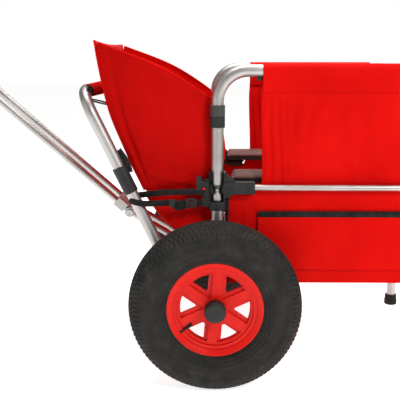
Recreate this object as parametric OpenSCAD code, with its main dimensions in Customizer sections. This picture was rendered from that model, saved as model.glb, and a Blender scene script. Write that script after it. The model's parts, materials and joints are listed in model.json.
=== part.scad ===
// Folding beach cart with two pneumatic wheels, a leaning backrest, armrests and a pull handle.
// Working axes: +X from the handle end to the front feet, +Y to the right of a person pulling it,
// +Z up. The axle is at x = 0 and the ground at z = 0 until at_origin() centres the cart.

/* [Frame] */
// Distance between the centre planes of the two wheels
track = 650; // [640:5:800]
// Distance between the centres of the left and right side frames
frame_w = 490; // [380:2:490]
// Distance between the rear and front posts of a side frame
frame_l = 555; // [430:5:700]
// Height of the centre of the top rails
rail_h = 732; // [712:2:900]
// Height of the silver side rods
rod_h = 464; // [460:1:470]
// Height of the joint line where a side rail lifts off its posts
split_h = 628.5; // [590:0.5:640]
// Height of the lower rails that carry the floor
floor_rail_h = 290; // [270:1:300]
// Height of the cloth floor
floor_h = 230; // [225:1:255]
// Outer diameter of the main tubes
tube_d = 28; // [24:0.5:30]
// Wall of the aluminium tubes
tube_wall = 1.5; // [1:0.1:2.5]
// Centre-line radius of the bends in the top rails
rail_bend_r = 70; // [50:1:80]
// Diameter of the side rods
rod_d = 14; // [10:0.5:16]
// Diameter of the lower rails and cross tubes
floor_tube_d = 22; // [18:0.5:24]

/* [Wheels] */
// Outer diameter of the tyres
wheel_d = 400; // [330:2:480]
// Width of the tyres
tyre_w = 100; // [70:1:104]
// Diameter over the rim flanges
rim_d = 234; // [195:1:260]
// Width over the rim flanges
rim_w = 66; // [54:1:70]
// Diameter of the axle
axle_d = 16; // [12:0.5:20]
// Diameter of the wheel hub
hub_d = 42; // [34:1:50]
// Number of spokes
spokes = 6; // [5:1:7]
// Width of a spoke, from window to window
spoke_w = 40; // [30:1:46]
// Width of the rib along a spoke
rib_w = 22; // [14:1:26]

/* [Backrest] */
// Distance of the backrest pivot behind the axle
pivot_back = 120; // [114:1:134]
// Lean of the hoop's legs, in degrees from upright
hoop_lean = 25.5; // [24:0.5:30]
// Straight length of a hoop leg
hoop_leg = 375; // [350:1:410]
// Radius of the hoop's top corners
hoop_corner_r = 60; // [40:1:80]
// Thickness of the padded backrest
back_t = 5; // [3:0.5:8]

/* [Handle] */
// Angle of the drawbar above horizontal, in degrees
bar_angle = 41.6; // [30:0.1:55]
// Distance from the drawbar pivot to the hand grip
bar_length = 720; // [650:5:860]
// Distance between the two tubes of the drawbar
bar_gap = 78; // [70:1:94]
// Outer diameter of the drawbar tubes
bar_d = 18; // [16:0.5:20]
// Length of the hand grip
grip_length = 140; // [120:1:180]
// Diameter of the hand grip
grip_d = 32; // [26:1:36]

/* [Armrests] */
// Width of an armrest
arm_w = 60; // [50:1:64]
// Length of an armrest
arm_length = 290; // [240:1:350]
// Distance between the outer edges of the two armrests
arm_outer = 444; // [400:1:444]
// Height of the armrest's lower face
arm_h = 468; // [468:1:476]
// Height of the pad's crown above its edge
arm_crown = 16; // [8:1:20]

/* [Fits and cloth] */
// Radial clearance of a running fit
run_fit = 0.05; // [0.02:0.01:0.1]
// Thickness of a single cloth
cloth_t = 2.4; // [1.6:0.2:4]
// Width of the strap webbing
strap_w = 15; // [10:1:20]

/* [Hidden] */
$fn = 64;

tube_r = tube_d / 2;
frame_y = frame_w / 2;
wheel_y = track / 2;
axle_z = wheel_d / 2;
post_x = 5;
front_x = post_x + frame_l;
casting_r = tube_r + 7;
front_end_x = front_x + casting_r;
bar_dir = [-cos(bar_angle), sin(bar_angle)];
knuckle = [-225, 358];
grip_x = knuckle.x + bar_length * bar_dir.x;
middle_x = (grip_x - grip_d / 2 + front_end_x) / 2;
slack = 0.3;
lap = 1;
bend_step = 0.1;

// ---- helpers -------------------------------------------------------------------------------
// moves the cart from the axle to the bottom centre of its own box
module at_origin() translate([-middle_x, 0, 0]) children();

// a right-hand piece is the mirror of the left-hand one
module right() mirror([0, 1, 0]) children();
module both_sides() {
    children();
    right() children();
}

module bar_y(x, z, y1, y2, r) translate([x, y2, z]) rotate([90, 0, 0]) cylinder(h = y2 - y1, r = r);
module bar_x(x1, x2, y, z, r) translate([x1, y, z]) rotate([0, 90, 0]) cylinder(h = x2 - x1, r = r);
module ring(r_out, r_in, h) difference() {
    cylinder(h = h, r = r_out);
    translate([0, 0, -1]) cylinder(h = h + 2, r = r_in);
}
module tube_section(d, wall) difference() {
    circle(d = d);
    circle(d = d - 2 * wall);
}
// a tube along +Z
module tube(d, wall, h) linear_extrude(h) tube_section(d, wall);
// bends that start along +Z at the origin and turn towards +X through the angle
module turned(r, angle)
    translate([r, 0, 0]) rotate([90, 0, 180]) rotate_extrude(angle = angle) translate([r, 0]) children();
module bend(d, wall, r, angle) turned(r, angle) tube_section(d, wall);
module solid_bend(bar_r, r, angle) turned(r, angle) circle(r = bar_r);
// an outline in the X-Z plane made into a sheet between two Y planes
module sheet(y1, y2) translate([0, y2, 0]) rotate([90, 0, 0]) linear_extrude(y2 - y1) children();
module box(x1, x2, y1, y2, z1, z2) translate([x1, y1, z1]) cube([x2 - x1, y2 - y1, z2 - z1]);

// ---- wheels --------------------------------------------------------------------------------
rim_r = rim_d / 2;
bead_r = rim_r - 16;
rim_half = rim_w / 2;
rim_wall = 4;
tyre_t = 10;
hub_half = 42;
washer_t = 2;
washer_gap = 0.3;
axle_half = wheel_y + hub_half + 6;
cap_out = hub_half + 12;
// the wheel stands with its outer face towards -Y
module on_left_wheel() translate([0, -wheel_y, axle_z]) rotate([90, 0, 0]) children();

tyre_mid = (wheel_d / 2 + bead_r) / 2 + 2;
tyre_high = wheel_d / 2 - tyre_mid;
function rounder(v) = sign(v) * pow(abs(v), 0.85);
function tyre_point(t, inset) = [
    tyre_mid + (tyre_high - inset) * rounder(cos(t)),
    (tyre_w / 2 - inset) * rounder(sin(t))
];
tyre_turn = 135;
module tyre() rotate_extrude() polygon(concat(
    [[bead_r + slack, -rim_half + 6]],
    [for (t = [-tyre_turn:9:tyre_turn]) tyre_point(t, 0)],
    [[bead_r + slack, rim_half - 6], [bead_r + slack, rim_half - 15]],
    [for (t = [tyre_turn:-15:-tyre_turn]) tyre_point(t, tyre_t)],
    [[bead_r + slack, -rim_half + 15]]
));

disc_z = 6;
disc_t = 8;
window_in = hub_d / 2 + 24;
window_out = bead_r - 21;
module rim_window() {
    tip = spoke_w / 2 / sin(180 / spokes);
    reach = window_out * 1.5;
    half = 180 / spokes;
    intersection() {
        ring(window_out, window_in, disc_t + 4);
        linear_extrude(disc_t + 4) translate([0, tip])
            polygon([[0, 0], reach * [-sin(half), cos(half)], reach * [sin(half), cos(half)]]);
    }
}
first_spoke = 5;
module rim() difference() {
    union() {
        rotate_extrude() polygon([
            [bead_r - rim_wall, -rim_half + 3], [bead_r + 3, -rim_half], [rim_r, -rim_half],
            [rim_r, -rim_half + 4], [bead_r + 2, -rim_half + 6], [bead_r, -rim_half + 10],
            [bead_r, rim_half - 10], [bead_r + 2, rim_half - 6], [rim_r, rim_half - 4],
            [rim_r, rim_half], [bead_r + 7, rim_half + 1], [bead_r + 3, rim_half - 1],
            [bead_r - rim_wall, rim_half - 5]
        ]);
        translate([0, 0, disc_z]) ring(bead_r - rim_wall + 0.5, hub_d / 2 - 4, disc_t);
        translate([0, 0, disc_z + disc_t - 1]) ring(bead_r - rim_wall + 0.5, bead_r - 19, 7);
        translate([0, 0, disc_z + disc_t + 5]) ring(bead_r - rim_wall + 0.5, bead_r - 12, 6);
        translate([0, 0, -hub_half]) cylinder(h = 2 * hub_half, d = hub_d);
        translate([0, 0, disc_z]) cylinder(h = 16, d = hub_d + 14);
        for (i = [0:spokes - 1])
            rotate([0, 0, -first_spoke - i * 360 / spokes])
                box(-rib_w / 2, rib_w / 2, hub_d / 2, bead_r - 15, disc_z + 1, disc_z + disc_t + 6);
    }
    translate([0, 0, -hub_half - 1]) cylinder(h = 2 * hub_half + 2, d = axle_d + 2 * run_fit);
    for (i = [0:spokes - 1])
        rotate([0, 0, -first_spoke - (i + 0.5) * 360 / spokes])
            translate([0, 0, disc_z - 2]) rim_window();
}
module hub_cap() rotate_extrude() polygon([
    [hub_d / 2 + 0.05, hub_half - 14], [hub_d / 2 + 3.5, hub_half - 14], [hub_d / 2 + 3.5, cap_out - 5],
    [hub_d / 2 + 1.5, cap_out - 1.5], [hub_d / 2 - 2, cap_out], [0, cap_out], [0, cap_out - 3],
    [hub_d / 2 - 3, cap_out - 3], [hub_d / 2 + 0.05, cap_out - 5]
]);
// the valve stands in a window, on the barrel's inner wall
valve_turn = 125;
module valve() rotate([0, 0, valve_turn]) translate([0, bead_r - rim_wall - 0.2, disc_z + disc_t + 8])
    rotate([90, 0, 0]) rotate_extrude()
        polygon([[0, 0], [4.5, 0], [4.5, 6], [3.2, 8], [3.2, 22], [3.9, 22], [3.9, 32], [0, 32]]);

module tyre_left() color([0.19, 0.18, 0.17]) on_left_wheel() tyre();
module tyre_right() right() tyre_left();
module rim_left() color([0.85, 0.09, 0.06]) on_left_wheel() rim();
module rim_right() right() rim_left();
module hub_cap_left() color([0.16, 0.16, 0.16]) on_left_wheel() hub_cap();
module hub_cap_right() right() hub_cap_left();
module valve_left() color([0.1, 0.1, 0.1]) on_left_wheel() valve();
module valve_right() right() valve_left();

// ---- axle ----------------------------------------------------------------------------------
axle_tube_d = axle_d + 9;
axle_tube_half = wheel_y - hub_half - 4 * washer_t;
cotter_d = 4;
cotter_y = wheel_y + hub_half + 2 * washer_gap + washer_t + cotter_d / 2 + 0.1;
module axle() color([0.62, 0.62, 0.62]) difference() {
    bar_y(0, axle_z, -axle_half - 2, axle_half + 2, axle_d / 2);
    both_sides() translate([0, -cotter_y, axle_z - axle_d]) cylinder(h = 2 * axle_d, d = cotter_d);
}
module axle_tube() color([0.72, 0.71, 0.69]) difference() {
    bar_y(0, axle_z, -axle_tube_half, axle_tube_half, axle_tube_d / 2);
    bar_y(0, axle_z, -axle_half, axle_half, axle_d / 2);
}
// two washers and a split pin hold each wheel
module wheel_fasteners() color([0.6, 0.6, 0.62]) both_sides() {
    for (z = [-hub_half - washer_gap - washer_t, hub_half + washer_gap])
        on_left_wheel() translate([0, 0, z]) ring(axle_d / 2 + 8, axle_d / 2, washer_t);
    translate([0, -cotter_y, axle_z - axle_d / 2 - 4]) cylinder(h = axle_d + 8, d = cotter_d);
}

// ---- posts, castings and rods --------------------------------------------------------------
collar_top = rod_h - 34;
collar_bottom = collar_top - 20;
leg_foot_z = axle_z - axle_tube_d / 2 - 8;
spigot_r = tube_r - tube_wall - run_fit;
spigot_h = 28;
bracket_l = 62;
bracket_in = 3;
bracket_out = 21;
bracket_h = 28;
bracket_end = post_x + 25 + bracket_l;
rod_y = frame_y + bracket_in + (bracket_out - bracket_in) / 2;

module rear_leg_left() color([0.78, 0.77, 0.75]) difference() {
    translate([post_x, -frame_y, leg_foot_z]) tube(tube_d, tube_wall, collar_top - 6 - leg_foot_z);
    bar_y(0, axle_z, -frame_y - tube_d, -frame_y + tube_d, axle_tube_d / 2);
}
module rear_leg_right() right() rear_leg_left();

// a post with the solid spigot that the lift-off rail slides on
module post(z1) {
    translate([0, 0, z1]) tube(tube_d, tube_wall, split_h - 0.5 - z1);
    translate([0, 0, split_h - 40]) cylinder(h = 39.5, r = tube_r - tube_wall / 2);
    translate([0, 0, split_h - 1]) cylinder(h = spigot_h, r = spigot_r);
}
// the rear post narrows to a waist and a rounded foot in the casting's window
module rear_post_left() color([0.8, 0.79, 0.77]) translate([post_x, -frame_y, 0]) {
    post(rod_h + 14);
    translate([0, 0, collar_top + 0.5]) rotate_extrude() polygon([
        [0, 0], [tube_r - 3, 0], [tube_r - 0.8, 2], [tube_r, 6], [tube_r, 17],
        [tube_r * 0.62, 24], [tube_r * 0.62, 29], [tube_r, 40], [tube_r, rod_h + 14 - collar_top],
        [0, rod_h + 14 - collar_top]
    ]);
}
module rear_post_right() right() rear_post_left();

foot_h = 32;
foot_floor = 6;
module front_posts() color([0.8, 0.79, 0.77]) both_sides() difference() {
    translate([front_x, -frame_y, 0]) post(foot_floor);
    bar_y(front_x, floor_rail_h, -frame_y - tube_d, -frame_y + tube_d, bolt_r);
}
module feet() color([0.12, 0.12, 0.12]) both_sides() translate([front_x, -frame_y, 0])
    difference() {
        rotate_extrude() polygon([[0, 0], [tube_r + 3, 0], [tube_r + 5, 2], [tube_r + 5, 12],
            [tube_r + 3, foot_h], [0, foot_h]]);
        translate([0, 0, foot_floor]) cylinder(h = foot_h, r = tube_r);
    }

// the casting clamps the post, carries the rod's end and the hook lever's pin
ear_x = -34;
lever_pin = [post_x - 25, rod_h + 9];
lever_pin_r = 3;
button_at = [post_x - 32, rod_h - 3];
button_r = 3.6;
button_travel = 3;
ear_out = 9;
module casting_shell(below) translate([0, -frame_y, 0]) {
    translate([0, 0, collar_bottom + below]) cylinder(h = rod_h + 36 - collar_bottom - below, r = casting_r);
}
module window_cut() sheet(-frame_y - tube_d, -frame_y) polygon([
    [post_x - tube_r - 0.5, collar_top], [post_x + tube_r + 0.5, collar_top],
    [post_x + tube_r + 0.5, rod_h - 14], [post_x + 9, rod_h - 7],
    [post_x + tube_r + 0.5, rod_h + 12], [post_x + tube_r + 0.5, rod_h + 40],
    [post_x - tube_r - 0.5, rod_h + 40], [post_x - tube_r - 0.5, rod_h + 12],
    [post_x - 9, rod_h - 7], [post_x - tube_r - 0.5, rod_h - 14]
]);
module rod_bracket() difference() {
    box(post_x + 12, bracket_end, -frame_y - bracket_out, -frame_y - bracket_in,
        rod_h - bracket_h / 2, rod_h + bracket_h / 2);
    bar_x(bracket_end - 20, bracket_end + 1, -rod_y, rod_h, rod_d / 2);
}
module joint_casting_left() color([0.13, 0.13, 0.13]) difference() {
    union() {
        translate([post_x, 0, 0]) casting_shell(0);
        rod_bracket();
        sheet(-frame_y - bracket_out + 3, -frame_y - bracket_in) polygon([
            [post_x + 8, rod_h + 36], [post_x + 18, rod_h + 36], [post_x + 44, rod_h + 13],
            [post_x + 44, rod_h - 13], [post_x + 8, rod_h - 30]
        ]);
        sheet(-frame_y - ear_out, -frame_y - 1) polygon([
            [ear_x, rod_h - 12], [ear_x + 8, rod_h - 24], [post_x - 10, rod_h - 30],
            [post_x - 10, rod_h + 22], [ear_x + 6, rod_h + 18], [ear_x, rod_h + 10]
        ]);
        bar_y(lever_pin.x, lever_pin.y, -frame_y - ear_out - 9, -frame_y - ear_out + 1, lever_pin_r);
        // lug that the lean strap's short end is sewn round
        box(post_x - 37, post_x - 12, -frame_y - 11, -frame_y - 1, rod_h - 46, rod_h - 25);
    }
    translate([post_x, -frame_y, collar_bottom - 1])
        cylinder(h = 200, r = tube_r + run_fit);
    window_cut();
    // flat inner side, clear of the cloth wing
    box(-60, post_x + 60, -frame_y + 16, -frame_y + 60, collar_bottom - 1, rod_h + 60);
    bar_y(button_at.x, button_at.y, -frame_y - ear_out - 1, -frame_y + 1, button_r + run_fit);
}
module joint_casting_right() right() joint_casting_left();

// front castings hold the rods' other ends
module front_castings() color([0.13, 0.13, 0.13]) both_sides() difference() {
    union() {
        translate([front_x, 0, 0]) casting_shell(20);
        translate([front_x + post_x, 0, 0]) mirror([1, 0, 0]) rod_bracket();
    }
    translate([front_x, -frame_y, collar_bottom - 1]) cylinder(h = 200, r = tube_r + run_fit);
    box(front_x - 60, front_x + 60, -frame_y + 16, -frame_y + 60, collar_bottom - 1, rod_h + 60);
}
rod_front = front_x + post_x - bracket_end;
module side_rods() color([0.75, 0.72, 0.7]) both_sides()
    bar_x(bracket_end - 19.5, rod_front + 19.5, -rod_y, rod_h, rod_d / 2);

sleeve_r = tube_r + 3;
sleeve_h = 25;
module rail_sleeves() color([0.1, 0.1, 0.1]) both_sides() for (x = [post_x, front_x])
    translate([x, -frame_y, split_h - 0.5 - sleeve_h]) ring(sleeve_r, tube_r, sleeve_h);

// ---- lower frame ---------------------------------------------------------------------------
bolt_r = 4;
floor_tube_r = floor_tube_d / 2;
lower_rail_y = frame_y - tube_r - floor_tube_r - 1.5;
pivot_x = -pivot_back;
module bolt(x) bar_y(x, floor_rail_h, -frame_y - tube_r - 8, -lower_rail_y + floor_tube_r + 8, bolt_r);
module lower_rails() color([0.72, 0.71, 0.7]) both_sides() difference() {
    translate([pivot_x - 16, -lower_rail_y, floor_rail_h]) rotate([0, 90, 0])
        tube(floor_tube_d, tube_wall, front_x + 16 - pivot_x + 16);
    for (x = [pivot_x, front_x]) bolt(x);
}
cross_x = front_x - 40;
module cross_tubes() color([0.72, 0.71, 0.7]) for (x = [post_x + 35, cross_x])
    translate([x, lower_rail_y - floor_tube_r - 0.1, floor_rail_h]) rotate([90, 0, 0])
        tube(floor_tube_d, tube_wall, 2 * (lower_rail_y - floor_tube_r - 0.1));
// pivot bolts of the backrest, the front joints and the drawbar
module pivot_bolts() color([0.6, 0.6, 0.62]) {
    both_sides() for (x = [pivot_x, front_x]) {
        bolt(x);
        bar_y(x, floor_rail_h, -frame_y - tube_r - 6.5, -frame_y - tube_r - 1, 7);
        bar_y(x, floor_rail_h, -lower_rail_y + floor_tube_r + 1, -lower_rail_y + floor_tube_r + 6, 7);
    }
    bar_y(knuckle.x, knuckle.y, -bar_y0 - eye_half - 2, bar_y0 + eye_half + 2, knuckle_bolt_r);
    both_sides() bar_y(knuckle.x, knuckle.y, -bar_y0 - eye_half - 6, -bar_y0 - eye_half, 8.5);
}

// ---- lift-off side rails -------------------------------------------------------------------
rail_leg = rail_h - rail_bend_r - split_h - 0.5;
rail_span = frame_l - 2 * rail_bend_r;
module side_rail_left() color([0.8, 0.79, 0.77]) translate([post_x, -frame_y, split_h + 0.5]) {
    tube(tube_d, tube_wall, rail_leg);
    translate([0, 0, rail_leg]) bend(tube_d, tube_wall, rail_bend_r, 90);
    translate([rail_bend_r, 0, rail_leg + rail_bend_r]) rotate([0, 90, 0]) tube(tube_d, tube_wall, rail_span);
    translate([frame_l, 0, rail_leg]) mirror([1, 0, 0]) bend(tube_d, tube_wall, rail_bend_r, 90);
    translate([frame_l, 0, 0]) tube(tube_d, tube_wall, rail_leg);
}
module side_rail_right() right() side_rail_left();
module rail_ferrules_left() color([0.25, 0.25, 0.25]) for (x = [post_x, front_x])
    translate([x, -frame_y, split_h + 0.5]) ring(sleeve_r, tube_r, sleeve_h);
module rail_ferrules_right() right() rail_ferrules_left();

panel_inset = 102;
panel_x1 = post_x + panel_inset;
panel_x2 = front_x - panel_inset;
hem_r = tube_r + cloth_t;
panel_split = rod_h - 4;
// the panel hangs from a hem sleeved over the rail
module upper_panel_left() color([0.86, 0.04, 0.03]) {
    difference() {
        bar_x(panel_x1, panel_x2, -frame_y, rail_h, hem_r);
        bar_x(panel_x1 - 1, panel_x2 + 1, -frame_y, rail_h, tube_r + run_fit);
    }
    box(panel_x1, panel_x2, -frame_y - cloth_t / 2, -frame_y + cloth_t / 2,
        panel_split + slack, rail_h - tube_r - 0.5);
}
module upper_panel_right() right() upper_panel_left();

// ---- cloth tub -----------------------------------------------------------------------------
tub_x1 = post_x + casting_r + 0.5;
tub_x2 = front_x - casting_r - 1;
module lower_panel_left() color([0.75, 0.03, 0.02])
    sheet(-frame_y - cloth_t / 2, -frame_y + cloth_t / 2) polygon([
        [tub_x1, floor_h], [tub_x2, floor_h], [tub_x2, rod_h - 18], [rod_front - 3, rod_h - 18],
        [rod_front - 3, panel_split], [bracket_end + 3, panel_split], [bracket_end + 3, rod_h - 18],
        [tub_x1, rod_h - 18]
    ]);
module lower_panel_right() right() lower_panel_left();
pocket_top = rod_h - 57;
pocket_bottom = floor_h + 35;
module pocket_left() color([0.78, 0.03, 0.02]) box(bracket_end + 10, tub_x2 - 20,
    -frame_y - cloth_t * 1.5 - slack, -frame_y - cloth_t / 2 - slack, pocket_bottom, pocket_top);
module pocket_right() right() pocket_left();

module floor_sling() color([0.7, 0.03, 0.02]) box(tub_x1 + 2, tub_x2 - cloth_t - slack,
    -frame_y + cloth_t / 2 + slack, frame_y - cloth_t / 2 - slack, floor_h, floor_h + cloth_t);
// the front panel and the bag are cut out round the lower rails
module rail_cuts(x1, x2) both_sides() bar_x(x1, x2, -lower_rail_y, floor_rail_h, floor_tube_r + 1);
module front_panel() color([0.8, 0.03, 0.02]) difference() {
    box(tub_x2 - cloth_t, tub_x2, -frame_y + casting_r + 1, frame_y - casting_r - 1, floor_h, rod_h - 18);
    rail_cuts(tub_x2 - 5, tub_x2 + 5);
}

// the rear bag curves down from the backrest to the floor, with a gusset on each side
bag_y = frame_y - sleeve_r - 1;
bag_top = rod_h - 24;
bag_back = pivot_x - 47;
bag_end = [tub_x1 + 1, floor_h];
bag_curve = [[bag_back, bag_top], [-150, 412], [-129, 384], [-99, 353], [-54, 308], [-12, 264], bag_end];
module rear_bag() color([0.72, 0.03, 0.02]) difference() {
    bag_cloth();
    rail_cuts(pivot_x - 30, tub_x1 + 5);
}
module bag_cloth() {
    sheet(-bag_y, bag_y) polygon(concat(bag_curve, [bag_end + [0, cloth_t]],
        [for (i = [len(bag_curve) - 2:-1:0]) bag_curve[i] + [cloth_t + 1, 0]]));
    both_sides() sheet(-bag_y, -bag_y + cloth_t)
        polygon(concat(bag_curve, [[tub_x1 + 1, bag_top - 60], [post_x - 6, bag_top]]));
}

// ---- backrest ------------------------------------------------------------------------------
hoop_start = 12;
hoop_top_x = pivot_x - (hoop_leg + hoop_corner_r) * sin(hoop_lean);
crossbar_z = floor_rail_h + (hoop_leg + hoop_corner_r) * cos(hoop_lean);
module on_hoop_leg(along) translate([pivot_x, -frame_y, floor_rail_h]) rotate([0, -hoop_lean, 0])
    translate([0, 0, along]) children();
crossbar_half = frame_y - hoop_corner_r;
// the hoop's path as a solid bar of radius r, in one leaning plane; straights lap over bends
module hoop_bar(r) {
    both_sides() {
        on_hoop_leg(-hoop_start) cylinder(h = hoop_leg + hoop_start + lap, r = r);
        on_hoop_leg(hoop_leg) rotate([0, 0, 90]) solid_bend(r - bend_step, hoop_corner_r, 90);
    }
    bar_y(hoop_top_x, crossbar_z, -crossbar_half - lap, crossbar_half + lap, r);
}
module backrest_hoop() color([0.78, 0.77, 0.75]) difference() {
    hoop_bar(tube_r);
    hoop_bar(tube_r - tube_wall);
    for (side = [-1, 1]) bar_y(pivot_x, floor_rail_h, side * frame_y - tube_d, side * frame_y + tube_d,
        bolt_r + run_fit);
}
sleeve_at = 178;
sleeve_length = 66;
module hoop_sleeves() color([0.12, 0.12, 0.12]) both_sides()
    on_hoop_leg(sleeve_at) ring(tube_r + 3, tube_r, sleeve_length);
module crossbar_sleeve() color([0.8, 0.04, 0.03])
    difference() {
        bar_y(hoop_top_x, crossbar_z, -crossbar_half + 10, crossbar_half - 10, hem_r);
        bar_y(hoop_top_x, crossbar_z, -crossbar_half, crossbar_half, tube_r + run_fit);
    }

// side profile of the backrest, from its foot to its top edge
back_foot = [-168, rod_h - 12];
back_curve = [back_foot, [-195, 510], [-209, 545], [-241, 627], [-258, 694], [-269, 753], [-279, 799]];
back_half = bag_y - cloth_t - 1;
module backrest_panel() color([0.8, 0.04, 0.03]) sheet(-back_half, back_half)
    polygon(concat(back_curve, [for (i = [len(back_curve) - 1:-1:0]) back_curve[i] + [back_t, 0]]));

wing_front = [[-232, 776], [-128, 738], [-60, 708], [-12, 672], [14, 610], [22, 548], [14, 502],
    [-20, 454]];
module wing_left() color([0.66, 0.04, 0.03]) sheet(-bag_y, -bag_y + cloth_t)
    polygon(concat(back_curve, wing_front));
module wing_right() right() wing_left();

// ---- straps --------------------------------------------------------------------------------
strap_t = 2;
strap_loop_at = 146;
strap_end_x = post_x - 74;
strap_y = frame_y + tube_r - 2;
module strap_left() color([0.14, 0.13, 0.12]) {
    on_hoop_leg(strap_loop_at) ring(tube_r + slack + strap_t, tube_r + slack, strap_w + 8);
    for (z = [rod_h - 11, rod_h - 37])
        box(pivot_x - 50, strap_end_x, -strap_y - strap_t, -strap_y, z - strap_w / 2, z + strap_w / 2);
}
module strap_right() right() strap_left();
buckle_w = 26;
module buckles() color([0.1, 0.1, 0.1]) both_sides() difference() {
    box(strap_end_x + slack, strap_end_x + buckle_w, -strap_y - strap_t - 3, -strap_y + 3,
        rod_h - 48, rod_h - 26);
    box(strap_end_x + 14, strap_end_x + 19, -strap_y - 10, -strap_y + 10, rod_h - 44, rod_h - 30);
}

// ---- hook levers and release buttons -------------------------------------------------------
lever_y = frame_y + ear_out + 0.5;
module hook_lever_left() color([0.16, 0.18, 0.18]) difference() {
    union() {
        sheet(-lever_y - 6, -lever_y) polygon([
            [post_x - 49, rod_h - 6], [post_x - 38, rod_h - 6], [post_x - 36, rod_h + 3],
            [lever_pin.x, rod_h + 3.6], [lever_pin.x, rod_h + 14.4], [post_x - 36, rod_h + 16],
            [post_x - 38, rod_h + 28], [post_x - 47, rod_h + 28], [post_x - 49, rod_h + 22]
        ]);
        bar_y(lever_pin.x, lever_pin.y, -lever_y - 6, -lever_y, lever_pin_r + 2.5);
    }
    bar_y(lever_pin.x, lever_pin.y, -lever_y - 9, -lever_y + 1, lever_pin_r + run_fit);
}
module hook_lever_right() right() hook_lever_left();
module release_button_left() color([0.8, 0.08, 0.06])
    bar_y(button_at.x, button_at.y, -frame_y - ear_out - button_travel - 1, -frame_y - 3, button_r);
module release_button_right() right() release_button_left();

// ---- armrests ------------------------------------------------------------------------------
arm_y = arm_outer / 2 - arm_w / 2;
arm_x1 = post_x + 35;
arm_edge = 12;
arm_pin = [arm_x1 - 6, arm_h - 6];
arm_pin_r = 4;
arm_eye_r = 8;
arm_eye_half = 10;
arm_ear_t = 10;
module arm_base_left() color([0.08, 0.08, 0.08]) difference() {
    union() {
        box(arm_x1, arm_x1 + arm_length, -arm_y - arm_w / 2, -arm_y + arm_w / 2, arm_h, arm_h + arm_edge);
        bar_y(arm_pin.x, arm_pin.y, -arm_y - arm_eye_half, -arm_y + arm_eye_half, arm_eye_r);
        sheet(-arm_y - arm_eye_half, -arm_y + arm_eye_half) polygon([
            arm_pin + [-2, 7], arm_pin + [7, -2], [arm_x1 + 14, arm_h - 2], [arm_x1 + 16, arm_h + 4],
            [arm_x1 - 1, arm_h + arm_edge - 4]
        ]);
    }
    bar_y(arm_pin.x, arm_pin.y, -arm_y - arm_w, -arm_y + arm_w, arm_pin_r + run_fit);
}
module arm_base_right() right() arm_base_left();
module arm_pad_left() color([0.45, 0.38, 0.35]) translate([arm_x1, -arm_y, arm_h + arm_edge])
    rotate([90, 0, 90]) linear_extrude(arm_length) polygon(concat(
        [[-arm_w / 2, 0.1]],
        [for (i = [0:12]) let (t = i / 6 - 1) [t * arm_w / 2, 1 + arm_crown * (1 - t * t)]],
        [[arm_w / 2, 0.1]]
    ));
module arm_pad_right() right() arm_pad_left();

bracket_top = arm_h - 5;
bracket_low = rod_h - 15;
module arm_brackets() color([0.1, 0.1, 0.1]) both_sides() {
    difference() {
        union() {
            box(arm_x1 + 8, arm_x1 + 44, -frame_y - bracket_in, -arm_y + arm_eye_half + arm_ear_t,
                bracket_low, bracket_top);
            for (s = [-1, 1]) translate([0, s * (arm_eye_half + 0.4 + arm_ear_t / 2), 0])
                sheet(-arm_y - arm_ear_t / 2, -arm_y + arm_ear_t / 2) {
                    translate([arm_pin.x, arm_pin.y]) circle(r = arm_eye_r - 0.3);
                    polygon([arm_pin - [0, 7.5], [arm_x1 + 9, bracket_low],
                        [arm_x1 + 9, bracket_top], arm_pin + [0, 2]]);
                }
        }
        // clear of the lower panel's top edge
        box(tub_x1, bracket_end, -frame_y - cloth_t, -frame_y + cloth_t, bracket_low - 1, bracket_low + 2);
    }
    pin_half = arm_eye_half + arm_ear_t;
    bar_y(arm_pin.x, arm_pin.y, -arm_y - pin_half, -arm_y + pin_half, arm_pin_r);
}

// ---- drawbar -------------------------------------------------------------------------------
bar_r = bar_d / 2;
bar_y0 = bar_gap / 2;
bar_wall = 1.5;
knuckle_bolt_r = 5;
eye_r = 13;
eye_half = bar_r + 1;
elbow = [pivot_x - 3, floor_rail_h + 9];
elbow_r = 150;
upper_run = elbow - knuckle;
lower_run = [0, axle_z] - elbow;
upper_turn = atan2(upper_run.x, upper_run.y);
elbow_turn = atan2(lower_run.x, lower_run.y) - upper_turn;
elbow_cut = elbow_r * tan(elbow_turn / 2);
// two straight stretches with one bend, from the knuckle down to the axle
module base_leg(r) translate([knuckle.x, -bar_y0, knuckle.y]) rotate([0, upper_turn, 0]) {
    cylinder(h = norm(upper_run) - elbow_cut + lap, r = r);
    translate([0, 0, norm(upper_run) - elbow_cut]) {
        solid_bend(r - bend_step, elbow_r, elbow_turn);
        translate([elbow_r * (1 - cos(elbow_turn)), 0, elbow_r * sin(elbow_turn)])
            rotate([0, elbow_turn, 0]) translate([0, 0, -lap])
                cylinder(h = norm(lower_run) - elbow_cut + lap, r = r);
    }
}
module drawbar_base() color([0.74, 0.73, 0.71]) both_sides() difference() {
    union() {
        base_leg(bar_r);
        bar_y(knuckle.x, knuckle.y, -bar_y0 - eye_half, -bar_y0 + eye_half, eye_r);
    }
    bar_y(0, axle_z, -bar_y0 - bar_d, -bar_y0 + bar_d, axle_tube_d / 2);
    bar_y(knuckle.x, knuckle.y, -bar_y0 - bar_d, -bar_y0 + bar_d, knuckle_bolt_r);
}
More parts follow.
